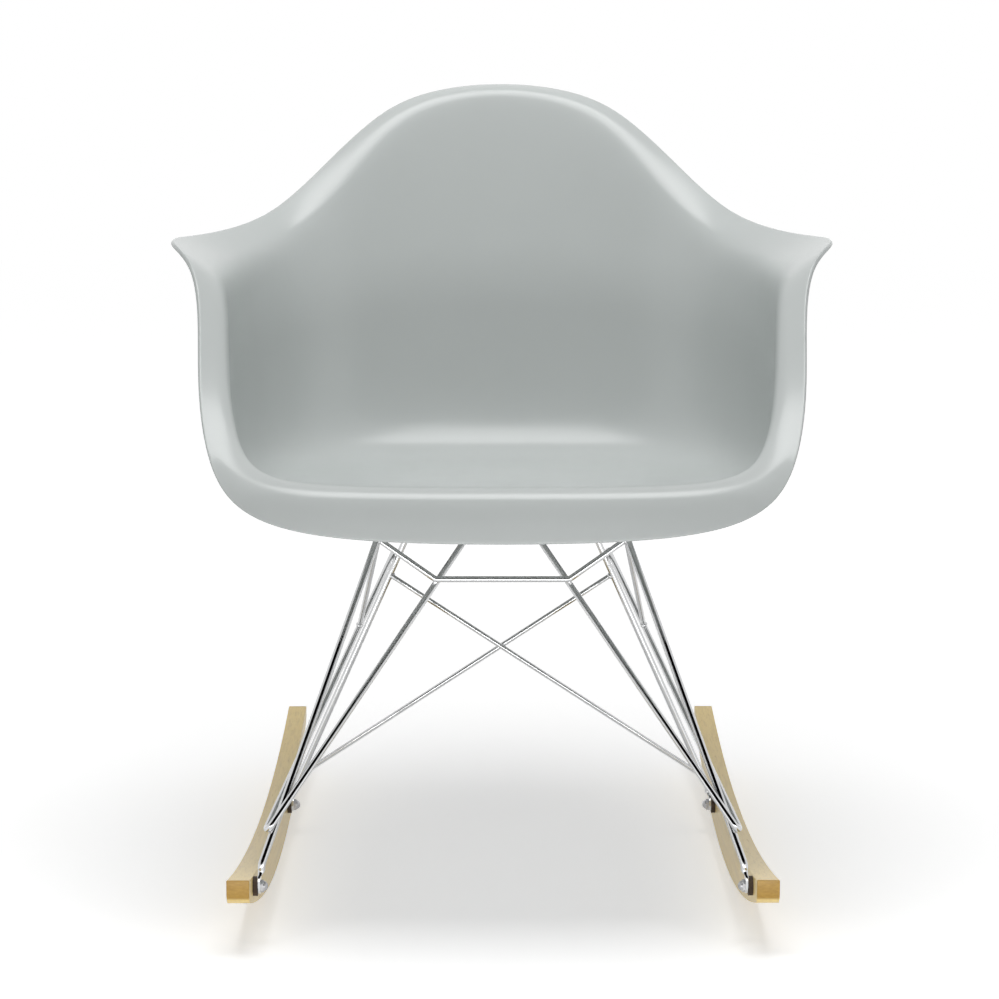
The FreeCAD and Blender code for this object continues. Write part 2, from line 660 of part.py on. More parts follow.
def make_rocker(name, side):
    """Solid wood crescent with two countersunk bolt holes."""
    body = doc.addObject("PartDesign::Body", "RockerBody_" + name)
    plane = [item for item in body.Origin.OriginFeatures if item.Role == "YZ_Plane"][0]
    sketch = body.newObject("Sketcher::SketchObject", "RockerOutline_" + name)
    sketch.AttachmentSupport = [(plane, "")]
    sketch.MapMode = "FlatFace"
    half = size("rocker_length") / 2
    waist = size("rocker_waist")
    contact = size("rocker_contact_y")
    outline = [
        arc_above(size("rocker_front_radius"), contact, 0, -half, contact),
        arc_above(size("rocker_rear_radius"), contact, 0, contact, half),
        arc_above(size("rocker_top_radius"), size("rocker_top_low_y"), waist, -half, half),
    ]
    front, rear, top = outline
    outline.append(Part.LineSegment(front.StartPoint, top.StartPoint))
    outline.append(Part.LineSegment(rear.EndPoint, top.EndPoint))
    for curve in outline:
        sketch.addGeometry(curve, False)
    constrain = Sketcher.Constraint
    for meeting in ((0, 2, 1, 1), (3, 1, 0, 1), (3, 2, 2, 1), (4, 1, 1, 2), (4, 2, 2, 2)):
        sketch.addConstraint(constrain("Coincident", *meeting))
    bound = (
        ("front_radius", constrain("Radius", 0, front.Radius), "Sizes.rocker_front_radius"),
        ("rear_radius", constrain("Radius", 1, rear.Radius), "Sizes.rocker_rear_radius"),
        ("top_radius", constrain("Radius", 2, top.Radius), "Sizes.rocker_top_radius"),
        ("front_centre_y", constrain("DistanceX", -1, 1, 0, 3, front.Center.x), "Sizes.rocker_contact_y"),
        ("front_centre_z", constrain("DistanceY", -1, 1, 0, 3, front.Center.y), "Sizes.rocker_front_radius"),
        ("rear_centre_y", constrain("DistanceX", -1, 1, 1, 3, rear.Center.x), "Sizes.rocker_contact_y"),
        ("contact_y", constrain("DistanceX", -1, 1, 0, 2, front.Center.x), "Sizes.rocker_contact_y"),
        ("top_centre_y", constrain("DistanceX", -1, 1, 2, 3, top.Center.x), "Sizes.rocker_top_low_y"),
        (
            "top_centre_z",
            constrain("DistanceY", -1, 1, 2, 3, top.Center.y),
            "Sizes.rocker_waist + Sizes.rocker_top_radius",
        ),
        ("front_end", constrain("DistanceX", -1, 1, 3, 1, -half), "-Sizes.rocker_length / 2"),
        ("rear_end", constrain("DistanceX", -1, 1, 4, 1, half), "Sizes.rocker_length / 2"),
    )
    for constraint_name, constraint, expression in bound:
        index = sketch.addConstraint(constraint)
        sketch.renameConstraint(index, constraint_name)
        sketch.setExpression("Constraints." + constraint_name, expression)
    sketch.addConstraint(constrain("Vertical", 3))
    sketch.addConstraint(constrain("Vertical", 4))
    pad = body.newObject("PartDesign::Pad", "RockerPad_" + name)
    pad.Profile = sketch
    pad.setExpression("Length", "Sizes.rocker_width")
    doc.recompute()
    tips = []
    for index, edge in enumerate(pad.Shape.Edges):
        ends = edge.Vertexes
        across = abs(ends[0].X - ends[1].X) > size("rocker_width") / 2
        if across and ends[0].Z < rocker_top(ends[0].Y) - size("rocker_tip_radius"):
            tips.append("Edge%d" % (index + 1))
    rounded = body.newObject("PartDesign::Fillet", "RockerTips_" + name)
    rounded.Base = (pad, tips)
    rounded.setExpression("Radius", "Sizes.rocker_tip_radius")
    doc.recompute()
    smooth = body.newObject("PartDesign::Fillet", "RockerEdges_" + name)
    smooth.Base = (rounded, ["Edge%d" % (index + 1) for index in range(len(rounded.Shape.Edges))])
    smooth.setExpression("Radius", "Sizes.rocker_edge_radius")
    body.Tip = smooth
    inner_x = size("rocker_outer_x") - size("rocker_width")
    body.Placement.Base = V(inner_x if side > 0 else -size("rocker_outer_x"), 0, 0)
    holes = []
    for end in ("front", "rear"):
        hole = "Sizes.bolt_diameter / 2 + Sizes.hole_gap"
        place = bolt_place(end, side)
        outward = V(side, 0, 0)
        label = "%s_%s" % (end, name)
        holes.append(cylinder("RockerHole_" + label, hole, "Sizes.rocker_width", place, outward))
        holes.append(bolt_cone("RockerSink_" + label, place + outward * size("rocker_width"), -outward))
    finish(cut("Rocker_" + name, body, *holes), "rocker_" + name)


def bolt_cone(name, base, direction):
    """Ninety-degree countersink, wide end at base."""
    depth = "(Sizes.bolt_head_diameter - Sizes.bolt_diameter) / 2"
    return cone(name, "Sizes.bolt_head_diameter / 2", "Sizes.bolt_diameter / 2", depth, base, direction)


def make_feet():
    """Spacer, countersunk bolt and dome nut of each foot."""
    spacers = []
    bolts = []
    nuts = []
    for side_name, side in SIDES:
        for end in ("front", "rear"):
            label = "%s_%s" % (end, side_name)
            place = bolt_place(end, side)
            inward = V(-side, 0, 0)
            outer = place - inward * size("rocker_width")
            hole = "Sizes.bolt_diameter / 2 + Sizes.hole_gap"
            disc_radius = "Sizes.spacer_diameter / 2"
            spacers.append(
                cut(
                    "Spacer_" + label,
                    cylinder("SpacerBody_" + label, disc_radius, "Sizes.spacer_thickness", place, inward),
                    cylinder("SpacerHole_" + label, hole, "Sizes.spacer_thickness", place, inward),
                )
            )
            nut_base = place + inward * (size("spacer_thickness") + size("tab_thickness"))
            reach = "Sizes.rocker_width + Sizes.spacer_thickness + Sizes.tab_thickness"
            reach += " + Sizes.nut_thread_depth - Sizes.bolt_end_gap"
            bolts.append(
                cut(
                    "Bolt_" + label,
                    joined(
                        "BoltBody_" + label,
                        cylinder("BoltShank_" + label, "Sizes.bolt_diameter / 2", reach, outer, inward),
                        bolt_cone("BoltHead_" + label, outer, inward),
                    ),
                    hexagon("BoltSocket_" + label, "Sizes.socket_width", "Sizes.socket_depth", outer, inward),
                )
            )
            ball = doc.addObject("Part::Sphere", "NutBall_" + label)
            ball.setExpression("Radius", "Sizes.nut_dome_radius")
            ball.Placement.Base = nut_base + inward * size("nut_dome_centre")
            thread = "Sizes.bolt_diameter / 2 + Sizes.thread_gap"
            six_height = "Sizes.nut_hexagon_height"
            nuts.append(
                cut(
                    "Nut_" + label,
                    joined(
                        "NutBody_" + label,
                        hexagon("NutSix_" + label, "Sizes.nut_flats", six_height, nut_base, inward),
                        ball,
                    ),
                    cylinder("NutSide_" + label, "Sizes.nut_flats", "Sizes.nut_flats", nut_base, -inward),
                    cylinder("NutThread_" + label, thread, "Sizes.nut_thread_depth", nut_base, inward),
                )
            )
    group("foot_spacers", spacers)
    group("foot_bolts", bolts)
    group("foot_nuts", nuts)


make_shell()
make_fixings()
make_wire_base()
for rocker_name, rocker_side in SIDES:
    make_rocker(rocker_name, rocker_side)
make_feet()
doc.recompute()

for item in doc.Objects:
    if "Invalid" in item.State or "Error" in item.State:
        raise RuntimeError("%s failed: %s" % (item.Name, item.State))
for piece in pieces:
    if piece.Shape.isNull() or not piece.Shape.isValid():
        raise RuntimeError("%s has no valid shape" % piece.Label)
os.makedirs("parts", exist_ok=True)
for piece in pieces:
    piece.Shape.exportStep("parts/%s.step" % piece.Label)
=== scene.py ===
import json
import math

import bmesh
import bpy
from mathutils import Matrix, Vector, geometry, noise


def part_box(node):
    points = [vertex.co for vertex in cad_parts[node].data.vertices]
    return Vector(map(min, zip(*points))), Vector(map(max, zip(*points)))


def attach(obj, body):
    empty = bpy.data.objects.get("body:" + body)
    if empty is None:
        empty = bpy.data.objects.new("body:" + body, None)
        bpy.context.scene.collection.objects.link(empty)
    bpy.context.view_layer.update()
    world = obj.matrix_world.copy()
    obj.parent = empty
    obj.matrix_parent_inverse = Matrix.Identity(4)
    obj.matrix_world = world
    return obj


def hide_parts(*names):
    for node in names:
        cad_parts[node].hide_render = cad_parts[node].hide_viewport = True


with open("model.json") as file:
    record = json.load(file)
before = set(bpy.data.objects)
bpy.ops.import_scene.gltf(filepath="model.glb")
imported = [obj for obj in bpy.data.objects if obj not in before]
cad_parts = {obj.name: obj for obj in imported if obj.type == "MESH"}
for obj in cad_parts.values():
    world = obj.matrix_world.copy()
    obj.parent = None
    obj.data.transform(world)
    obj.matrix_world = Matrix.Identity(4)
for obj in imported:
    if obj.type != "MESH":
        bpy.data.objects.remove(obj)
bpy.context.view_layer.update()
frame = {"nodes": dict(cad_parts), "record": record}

# Armchair with a moulded shell on a chromed wire base and two wooden rockers.
# The tables of the chair are in millimetres, in its own frame: +Z up, +Y to the rear. Everything built is in
# metres, and so is the studio.
MM = 0.001
UP = Vector((0, 0, 1))
SIDES = (("left", -1), ("right", 1))


# Finishes


class Link:
    """A socket of a finish, which takes part in sums like a number."""

    def __init__(self, finish, socket):
        self.finish = finish
        self.socket = socket

    def math(self, operation, first, second=0.0):
        return self.finish.node("Math", {"operation": operation}, {0: first, 1: second})

    def __add__(self, other):
        return self.math("ADD", self, other)

    __radd__ = __add__

    def __mul__(self, other):
        return self.math("MULTIPLY", self, other)

    __rmul__ = __mul__

    def __pow__(self, other):
        return self.math("POWER", self, other)

    def sized(self):
        """The number without its sign."""
        return self.math("ABSOLUTE", self)

    def between(self, low, high):
        """0 under low, 1 over high, and smooth in between."""
        settings = {"interpolation_type": "SMOOTHSTEP"}
        return self.finish.node("MapRange", settings, {"Value": self, "From Min": low, "From Max": high})


class Finish:
    """The nodes of a material or of the world. Patterns lie on Object coordinates, in metres."""

    def __init__(self, owner):
        owner.use_nodes = True
        self.owner = owner
        self.tree = owner.node_tree
        self.tree.nodes.clear()

    def node(self, kind, settings=None, inputs=None, out=0):
        """Any node: its type, then its settings, then the values or links of its sockets."""
        made = self.tree.nodes.new("ShaderNode" + kind)
        made.location = (len(self.tree.nodes) * 180, 0)
        for name, value in (settings or {}).items():
            setattr(made, name, value)
        for name, value in (inputs or {}).items():
            if isinstance(value, Link):
                self.tree.links.new(value.socket, made.inputs[name])
            else:
                made.inputs[name].default_value = value
        return Link(self, made.outputs[out]) if len(made.outputs) else None

    def place(self, scale=(1, 1, 1)):
        """Object coordinates, stretched along the axes."""
        here = self.node("TexCoord", out="Object")
        return self.node("Mapping", {}, {"Vector": here, "Scale": scale})

    def speckle(self, size, scale=(1, 1, 1), detail=2.0, roughness=0.5):
        """Noise of about 0 to 1 whose lumps are size metres across."""
        sockets = {"Vector": self.place(scale), "Scale": 1.0 / size, "Detail": detail, "Roughness": roughness}
        return self.node("TexNoise", {}, sockets)

    def blend(self, share, first, second):
        """A colour on the way from the first to the second."""
        return self.node("Mix", {"data_type": "RGBA"}, {0: share, 6: first, 7: second}, out=2)

    def bumps(self, height, depth, strength=1.0):
        """A normal from a height that spans depth metres."""
        return self.node("Bump", {}, {"Height": height, "Distance": depth, "Strength": strength})

    def surface(self, sockets):
        """Principled surface as the material's output."""
        shader = self.node("BsdfPrincipled", {}, sockets)
        self.output(shader)

    def output(self, shader):
        kind = "OutputWorld" if isinstance(self.owner, bpy.types.World) else "OutputMaterial"
        self.node(kind, {}, {"Surface": shader})


def solid(red, green, blue):
    return (red, green, blue, 1.0)


def moulded_plastic():
    """Pale grey through-dyed plastic with a fine satin grain."""
    finish = Finish(bpy.data.materials.new("moulded_plastic"))
    cloud = finish.speckle(0.12, detail=3.0)
    grain = finish.speckle(0.0011, detail=2.0, roughness=0.6)
    scuff = finish.speckle(0.03, scale=(1, 1, 0.4), detail=6.0, roughness=0.7)
    colour = finish.blend(cloud, solid(0.515, 0.545, 0.537), solid(0.545, 0.575, 0.567))
    rough = 0.20 + 0.05 * scuff + 0.05 * grain
    finish.surface({
        "Base Color": colour,
        "Roughness": rough,
        "IOR": 1.46,
        "Normal": finish.bumps(grain, 0.00003, 0.5),
    })
    return finish.owner


def polished_chrome():
    """Bright plating with faint draw lines and smudges."""
    finish = Finish(bpy.data.materials.new("polished_chrome"))
    smudge = finish.speckle(0.02, detail=5.0, roughness=0.65)
    pits = finish.speckle(0.0007, detail=1.0)
    finish.surface({
        "Base Color": finish.blend(smudge, solid(0.55, 0.56, 0.57), solid(0.66, 0.66, 0.66)),
        "Metallic": 1.0,
        "Roughness": 0.05 + 0.09 * smudge ** 2.0,
        "Normal": finish.bumps(pits, 0.000008, 0.4),
    })
    return finish.owner


def zinc_plate(name, dark, bright, rough):
    """Dull plated steel or plain brass of the small hardware."""
    finish = Finish(bpy.data.materials.new(name))
    cloud = finish.speckle(0.004, detail=4.0, roughness=0.7)
    scratch = finish.speckle(0.0006, scale=(1, 1, 0.15), detail=3.0)
    finish.surface({
        "Base Color": finish.blend(cloud, dark, bright),
        "Metallic": 1.0,
        "Roughness": rough + 0.18 * cloud,
        "Normal": finish.bumps(scratch, 0.00002, 0.5),
    })
    return finish.owner


def dull_rubber(name, dark, bright):
    finish = Finish(bpy.data.materials.new(name))
    dust = finish.speckle(0.006, detail=5.0, roughness=0.7)
    grain = finish.speckle(0.0008, detail=2.0)
    finish.surface({
        "Base Color": finish.blend(dust ** 2.0, dark, bright),
        "Roughness": 0.62 + 0.2 * dust,
        "Normal": finish.bumps(grain, 0.00005, 0.6),
    })
    return finish.owner


# Height over which the rocker's side turns into its end face, as distance from the chair's middle in metres
END_FACE = (0.3426, 0.3444)


def lacquered_maple():
    """Pale wood with its grain along the rocker, darker end grain and a clear satin lacquer."""
    finish = Finish(bpy.data.materials.new("lacquered_maple"))
    here = finish.node("TexCoord", out="Object")
    along = finish.node("SeparateXYZ", {}, {0: here}, out="Y")
    warp = finish.speckle(0.30, scale=(3.0, 0.6, 3.0), detail=2.0)
    bands = finish.speckle(0.012, scale=(1.0, 0.035, 1.0), detail=4.0, roughness=0.6)
    fibres = finish.speckle(0.0022, scale=(1.0, 0.02, 1.0), detail=3.0, roughness=0.6)
    pores = finish.speckle(0.0011, scale=(1.0, 0.06, 1.0), detail=1.0)
    flecks = pores.between(0.66, 0.74)
    pale = finish.blend(bands, solid(0.93, 0.67, 0.22), solid(0.97, 0.77, 0.35))
    warm = finish.blend(warp.between(0.35, 0.7) * 0.5, pale, solid(0.95, 0.72, 0.29))
    lined = finish.blend(fibres.between(0.40, 0.75) * 0.35, warm, solid(0.66, 0.47, 0.21))
    face = finish.blend(flecks * 0.35, lined, solid(0.50, 0.32, 0.13))
    rings = finish.speckle(0.0016, scale=(0.35, 1.0, 1.0), detail=2.0)
    end_grain = finish.blend(rings, solid(0.38, 0.20, 0.02), solid(0.58, 0.35, 0.06))
    at_end = along.sized().between(*END_FACE)
    finish.surface({
        "Base Color": finish.blend(at_end, face, end_grain),
        "Roughness": 0.36 + 0.10 * bands + 0.1 * flecks,
        "Coat Weight": 0.25,
        "Coat Roughness": 0.22,
        "Normal": finish.bumps(fibres * 0.6 + pores * 0.4, 0.00006, 0.5),
    })
    return finish.owner


FINISHES = {
    "shell": moulded_plastic(),
    "chrome": polished_chrome(),
    "wood": lacquered_maple(),
    "cushion_rubber": dull_rubber(
        "black_cushion_rubber", solid(0.012, 0.012, 0.012), solid(0.05, 0.05, 0.05)
    ),
    "spacer_rubber": dull_rubber(
        "dark_brown_spacer_rubber", solid(0.035, 0.02, 0.012), solid(0.10, 0.07, 0.045)
    ),
    "zinc_steel": zinc_plate("zinc_plated_steel", solid(0.34, 0.34, 0.35), solid(0.56, 0.56, 0.57), 0.24),
    "insert_brass": zinc_plate("turned_brass", solid(0.52, 0.35, 0.12), solid(0.74, 0.55, 0.24), 0.22),
}


# Making pieces

CREASE = math.radians(32)
ROUND_STEPS = 48
SAME_PLACE = 0.000002


def mm(x, y, z):
    return Vector((x, y, z)) * MM


def mirrored(point):
    return Vector((-point.x, point.y, point.z))


def sided(points, side):
    """Points of the left side, or their mirror on the right."""
    return points if side < 0 else [mirrored(point) for point in points]


def ring_edges(form, ring):
    """Edges of a closed ring of vertices."""
    return [form.edges.get((first, second)) for first, second in zip(ring, ring[1:] + ring[:1])]


def next_ring(form, ring, places):
    """Extrude a closed ring and put its new vertices in their places."""
    grown = bmesh.ops.extrude_edge_only(form, edges=ring_edges(form, ring))["geom"]
    new = {item for item in grown if isinstance(item, bmesh.types.BMVert)}
    ordered = []
    for vertex in ring:
        ordered += [edge.other_vert(vertex) for edge in vertex.link_edges if edge.other_vert(vertex) in new]
    for vertex, place in zip(ordered, places):
        vertex.co = place
    return ordered


def close_with_centre(form, ring, centre):
    """Fill a ring with triangles that meet in its centre."""
    face = bmesh.ops.contextual_create(form, geom=ring_edges(form, ring))["faces"][0]
    middle = bmesh.ops.poke(form, faces=[face])["verts"][0]
    middle.co = centre


def soften(form, angle=CREASE):
    """Smooth shading, with a crease where faces meet sharply."""
    for face in form.faces:
        face.smooth = True
    for edge in form.edges:
        if len(edge.link_faces) == 2 and edge.calc_face_angle() > angle:
            edge.smooth = False


def as_piece(form, name, slot, *nodes):
    """A finished form as a piece of the chair, in its finish, standing for CAD nodes if any are named."""
    mesh = bpy.data.meshes.new(name)
    form.to_mesh(mesh)
    form.free()
    piece = bpy.data.objects.new(name, mesh)
    bpy.context.scene.collection.objects.link(piece)
    mesh.materials.append(FINISHES[slot])
    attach(piece, "root")
    if nodes:
        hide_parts(*nodes)
    return piece


def turned(form, profile, centre, axis=UP, steps=ROUND_STEPS):
    """Spin a profile of (radius, height) pairs, in millimetres, about an axis through the centre."""
    turn = Matrix.Translation(centre) @ axis.to_track_quat("Z", "Y").to_matrix().to_4x4()
    points = [form.verts.new(turn @ mm(radius, 0, height)) for radius, height in profile]
    lines = [form.edges.new(pair) for pair in zip(points, points[1:])]
    bmesh.ops.spin(
        form,
        geom=points + lines,
        cent=centre,
        axis=axis,
        angle=2 * math.pi,
        steps=steps,
        use_merge=True,
    )


def smoothed_node(node, slot):
    """A smooth-shaded copy of a small CAD node, welded along its creases."""
    form = bmesh.new()
    form.from_mesh(frame["nodes"][node].data)
    bmesh.ops.remove_doubles(form, verts=form.verts, dist=SAME_PLACE)
    bmesh.ops.dissolve_degenerate(form, edges=form.edges, dist=SAME_PLACE)
    soften(form)
    return as_piece(form, node + "_finished", slot, node)


# Shell

SHELL_THICKNESS = 4.5
PAN = {"reach": 200, "low_height": 374, "low_y": -10, "front_rise": 9.5, "side_rise": 5, "centre_y": -60}
CORNER_REACH = 50
CORNER_RISE = 9
WALL_BELLY = 7
NEAR_SHARE = 0.22
FLAT_SHARES = (0.6, 1.0)
WALL_SHARES = ((0.28, 1.0), (0.58, 0.6), (0.84, 0.0))

# Each station's rim, the fold where the wall turns out to it, the foot where the seat turns up, and the
# share of the roll's turn
SHELL_STATIONS = [
    ((0, -333, 358), (0, -308, 403), (0, -205), 0.86),
    ((115, -331, 360), (110, -306, 403), (92, -204), 0.86),
    ((195, -321, 369), (181, -297, 405), (152, -198), 0.82),
    ((240, -294, 391), (218, -274, 414), (180, -183), 0.70),
    ((259, -254, 430), (236, -236, 438), (188, -160), 0.60),
    ((269, -204, 484), (247, -188, 484), (192, -138), 0.55),
    ((271, -158, 545), (250, -146, 540), (195, -114), 0.50),
    ((281, -120, 590), (254, -110, 566), (196, -90), 0.50),
    ((313, -76, 607), (257, -66, 573), (196, -60), 0.50),
    ((303, 15, 606), (256, 15, 574), (191, -22), 0.50),
    ((275, 95, 609), (243, 88, 583), (176, 20), 0.48),
    ((230, 172, 625), (205, 156, 605), (144, 58), 0.45),
    ((178, 228, 681), (158, 208, 664), (100, 82), 0.42),
    ((120, 264, 738), (108, 245, 722), (58, 94), 0.38),
    ((61, 283, 757), (55, 263, 742), (27, 99), 0.32),
    ((0, 288, 762), (0, 268, 747), (0, 100), 0.30),
]

SMOOTH_LEVELS = 3

# The bosses of the seat fixings: radius, and height above the boss's lower end
FIXINGS = ("front_left", "front_right", "rear_left", "rear_right")
BOSS_PROFILE = [(4.5, 7), (4.5, 0), (13.4, 0), (14, 0.6), (14.3, 4.6), (17, 8.4)]


def pan_height(x, y):
    """Top of the flat part of the seat."""
    ahead = (PAN["low_y"] - y) / PAN["reach"]
    beside = x / PAN["reach"]
    return PAN["low_height"] + PAN["front_rise"] * ahead ** 2 + PAN["side_rise"] * beside ** 2


def station_rows(rim, fold, foot, turn):
    """Points of the upper skin's cage from the seat's middle out to the rim."""
    centre_y = PAN["centre_y"]
    slope = -2 * PAN["front_rise"] * (PAN["low_y"] - centre_y) / PAN["reach"] ** 2
    rim = Vector(rim)
    fold = Vector(fold)
    foot = Vector((*foot, 0))
    centre = Vector((0, centre_y, pan_height(0, centre_y)))
    near = Vector((foot.x * NEAR_SHARE, centre_y + (foot.y - centre_y) * NEAR_SHARE, 0))
    near.z = centre.z + slope * (near.y - centre_y)
    rows = [centre, near]
    for share in FLAT_SHARES:
        x = foot.x * share
        y = centre_y + (foot.y - centre_y) * share
        rows.append(Vector((x, y, pan_height(x, y))))
    outward = (fold - foot).xy.normalized().to_3d()
    corner = rows[-1] + outward * CORNER_REACH + UP * CORNER_RISE
    rows.append(corner)
    for share, belly in WALL_SHARES:
        rows.append(corner.lerp(fold, share) + outward * (belly * WALL_BELLY))
    roll = rim - fold
    rows += [fold, fold + Vector((roll.x * turn, roll.y * turn, roll.z * (1 - turn))), rim]
    return rows


def shell_cage():
    """Rings of the shell's cage: over the upper skin, round the edge and back under."""
    half = [station_rows(*station) for station in SHELL_STATIONS]
    net = [[mirrored(point) for point in rows] for rows in half] + half[-2:0:-1]
    stations = []
    for number, upper in enumerate(net):
        after = net[(number + 1) % len(net)]
        under = [upper[0] - UP * SHELL_THICKNESS]
        for row in range(1, len(upper)):
            out_way = upper[min(row + 1, len(upper) - 1)] - upper[row - 1]
            round_way = after[row] - net[number - 1][row]
            under.append(upper[row] + out_way.cross(round_way).normalized() * SHELL_THICKNESS)
        edge_way = (upper[-1] - upper[-2]).normalized() * (SHELL_THICKNESS / 2)
        stations.append(upper + [upper[-1] + edge_way, under[-1] + edge_way] + under[::-1])
    return [[station[row] * MM for station in stations] for row in range(len(stations[0]))]


def moulded_shell():
    """One thin shell whose skins meet in a round edge, with four bosses under the seat."""
    rings = shell_cage()
    form = bmesh.new()
    ring = list(bmesh.ops.create_circle(form, cap_ends=False, segments=len(rings[0]), radius=MM)["verts"])
    for vertex, place in zip(ring, rings[1]):
        vertex.co = place
    first = ring
    for places in rings[2:-1]:
        ring = next_ring(form, ring, places)
    close_with_centre(form, first, rings[0][0])
    close_with_centre(form, ring, rings[-1][0])
    bmesh.ops.recalc_face_normals(form, faces=form.faces)
    soften(form, math.pi)
    cage = as_piece(form, "shell_cage", "shell")
    subdivide = cage.modifiers.new("smooth", "SUBSURF")
    subdivide.levels = SMOOTH_LEVELS
    subdivide.render_levels = SMOOTH_LEVELS
    rounded = bpy.data.meshes.new_from_object(cage.evaluated_get(bpy.context.evaluated_depsgraph_get()))
    bpy.data.objects.remove(cage)
    form = bmesh.new()
    form.from_mesh(rounded)
    bosses = bmesh.new()
    for fixing in FIXINGS:
        turned(bosses, BOSS_PROFILE, boss_end(fixing))
    bmesh.ops.recalc_face_normals(bosses, faces=bosses.faces)
    soften(bosses)
    joined = bpy.data.meshes.new("bosses")
    bosses.to_mesh(joined)
    form.from_mesh(joined)
    return as_piece(form, "moulded_shell", "shell", "seat_shell")


def boss_end(fixing):
    """Lower end of a seat fixing's boss."""
    low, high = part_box("seat_cushion_" + fixing)
    return Vector(((low[0] + high[0]) / 2, (low[1] + high[1]) / 2, high[2]))


# Wire base

ROD_SIDES = 32
BEND_STEPS = 14
END_ROUNDING = 0.12
SHARP_TURN = 1.4

# Corners of the left side frame rod and V rod from end to end, and the radii of their bends
FRAME_ROD = [
    mm(-210.35, -307, 66.24),
    mm(-210.35, -307, 71.24),
    mm(-106.73, -159.87, 357.62),
    mm(-73.27, 69.87, 353.29),
    mm(-210.35, 72, 45.81),
    mm(-210.35, 72, 42.81),
]
FRAME_BENDS = [13, 15, 15, 12]
V_ROD = [mm(-107.50, 74.96, 290.99), mm(-210.05, -306.05, 93.34), mm(-20.8, -131, 351.23)]
HOOK_BEND = 4.8
FRONT_STRUT = (FRAME_ROD[1], FRAME_ROD[2])
REAR_STRUT = (FRAME_ROD[4], FRAME_ROD[3])
FRAME_DIAMETER = 6.5
V_DIAMETER = 6.0
CROSS_DIAMETER = 5.6
BRACE_DIAMETER = 5.0
WELD_SINK = 0.2

# Heights at which the other rods meet the struts and the V rods
TRAY_END_HEIGHT = 338
TRAY_BEND_HEIGHT = 301
TRAY_BEND_OUT = 3.5
TRAY_BEND = 7
SHORT_BRACE_TOP = 346
SHORT_BRACE_FOOT = 233.1
CROSSING_TOP = 266.6
CROSSING_LOW = 59.4

# Weld beads: half width and half length
SIDE_BEAD = (2.5, 4.6)
END_BEAD = (3.5, 2.2)
TRAY_END_BEAD = (3.8, 2.2)
V_TOP_BEAD = (3.7, 3.0)
BEAD_RIPPLE = 0.14
RIPPLE_DENSITY = 1400
RIPPLE_SHIFT = 50


def at_height(low, high, height):
    """The point of the line from low to high at a height in millimetres."""
    return low.lerp(high, (height * MM - low.z) / (high.z - low.z))


def pushed(form, edges, run):
    """Extrude a ring of edges along a run."""
    grown = bmesh.ops.extrude_edge_only(form, edges=edges)["geom"]
    bmesh.ops.translate(form, verts=[item for item in grown if isinstance(item, bmesh.types.BMVert)], vec=run)
    return [item for item in grown if isinstance(item, bmesh.types.BMEdge)]


def bent_rod(form, points, bends, diameter):
    """A round rod: straight runs pushed out, and bends turned about their centres, as it is bent by hand."""
    way = (points[1] - points[0]).normalized()
    seat = Matrix.Translation(points[0]) @ way.to_track_quat("Z", "Y").to_matrix().to_4x4()
    ring = bmesh.ops.create_circle(
        form, cap_ends=True, segments=ROD_SIDES, radius=diameter * MM / 2, matrix=seat
    )["verts"]
    edges = ring_edges(form, list(ring))
    start = points[0]
    for before, corner, after, bend in zip(points, points[1:], points[2:], bends):
        back = (before - corner).normalized()
        ahead = (after - corner).normalized()
        half_angle = back.angle(ahead) / 2
        reach = bend * MM / math.tan(half_angle)
        centre = corner + (back + ahead).normalized() * (bend * MM / math.sin(half_angle))
        edges = pushed(form, edges, corner + back * reach - start)
        verts = list({vertex for edge in edges for vertex in edge.verts})
        spun = bmesh.ops.spin(
            form,
            geom=verts + edges,
            cent=centre,
            axis=ahead.cross(back).normalized(),
            angle=math.pi - 2 * half_angle,
            steps=BEND_STEPS,
        )["geom_last"]
        edges = [item for item in spun if isinstance(item, bmesh.types.BMEdge)]
        start = corner + ahead * reach
    edges = pushed(form, edges, points[-1] - start)
    bmesh.ops.contextual_create(form, geom=edges)
    return edges


def round_ends(form, diameter):
    """Take the sharp rim off the two cut ends."""
    rims = [edge for edge in form.edges if len(edge.link_faces) == 2 and edge.calc_face_angle() > SHARP_TURN]
    bmesh.ops.bevel(
        form,
        geom=rims,
        offset=diameter * MM * END_ROUNDING,
        segments=3,
        profile=0.5,
        affect="EDGES",
        material=-1,
    )


def chrome_rod(name, points, bends, diameter, *nodes):
    form = bmesh.new()
    bent_rod(form, points, bends, diameter)
    bmesh.ops.recalc_face_normals(form, faces=form.faces)
    round_ends(form, diameter)
    soften(form)
    return as_piece(form, name, "chrome", *nodes)


def side_frame(name, side):
    """Side frame rod with its two ends pressed flat for the bolts."""
    form = bmesh.new()
    points = sided(FRAME_ROD, side)
    bent_rod(form, points, FRAME_BENDS, FRAME_DIAMETER)
    bmesh.ops.recalc_face_normals(form, faces=form.faces)
    for end in (points[0], points[-1]):
        press_foot(form, end, side)
    bmesh.ops.recalc_face_normals(form, faces=form.faces)
    soften(form)
    return as_piece(form, "side_frame_rod_" + name, "chrome", "side_frame_" + name)


# Sections of a flattened foot: below the round rod's end, half thickness, half depth
FOOT_SECTIONS = [
    (1.4, 2.9, 3.6),
    (2.8, 2.2, 4.7),
    (4.2, 1.6, 5.9),
    (5.5, 1.3, 6.5),
    (10.0, 1.3, 6.5),
    (13.5, 1.3, 6.5),
    (15.5, 1.3, 6.3),
    (17.3, 1.3, 5.6),
    (18.8, 1.3, 4.4),
    (19.9, 1.3, 2.8),
    (20.5, 1.3, 0.7),
]
FOOT_OUTER_X = 213.6
FOOT_SWAGED = 5.5
FOOT_CORNER = 1.36


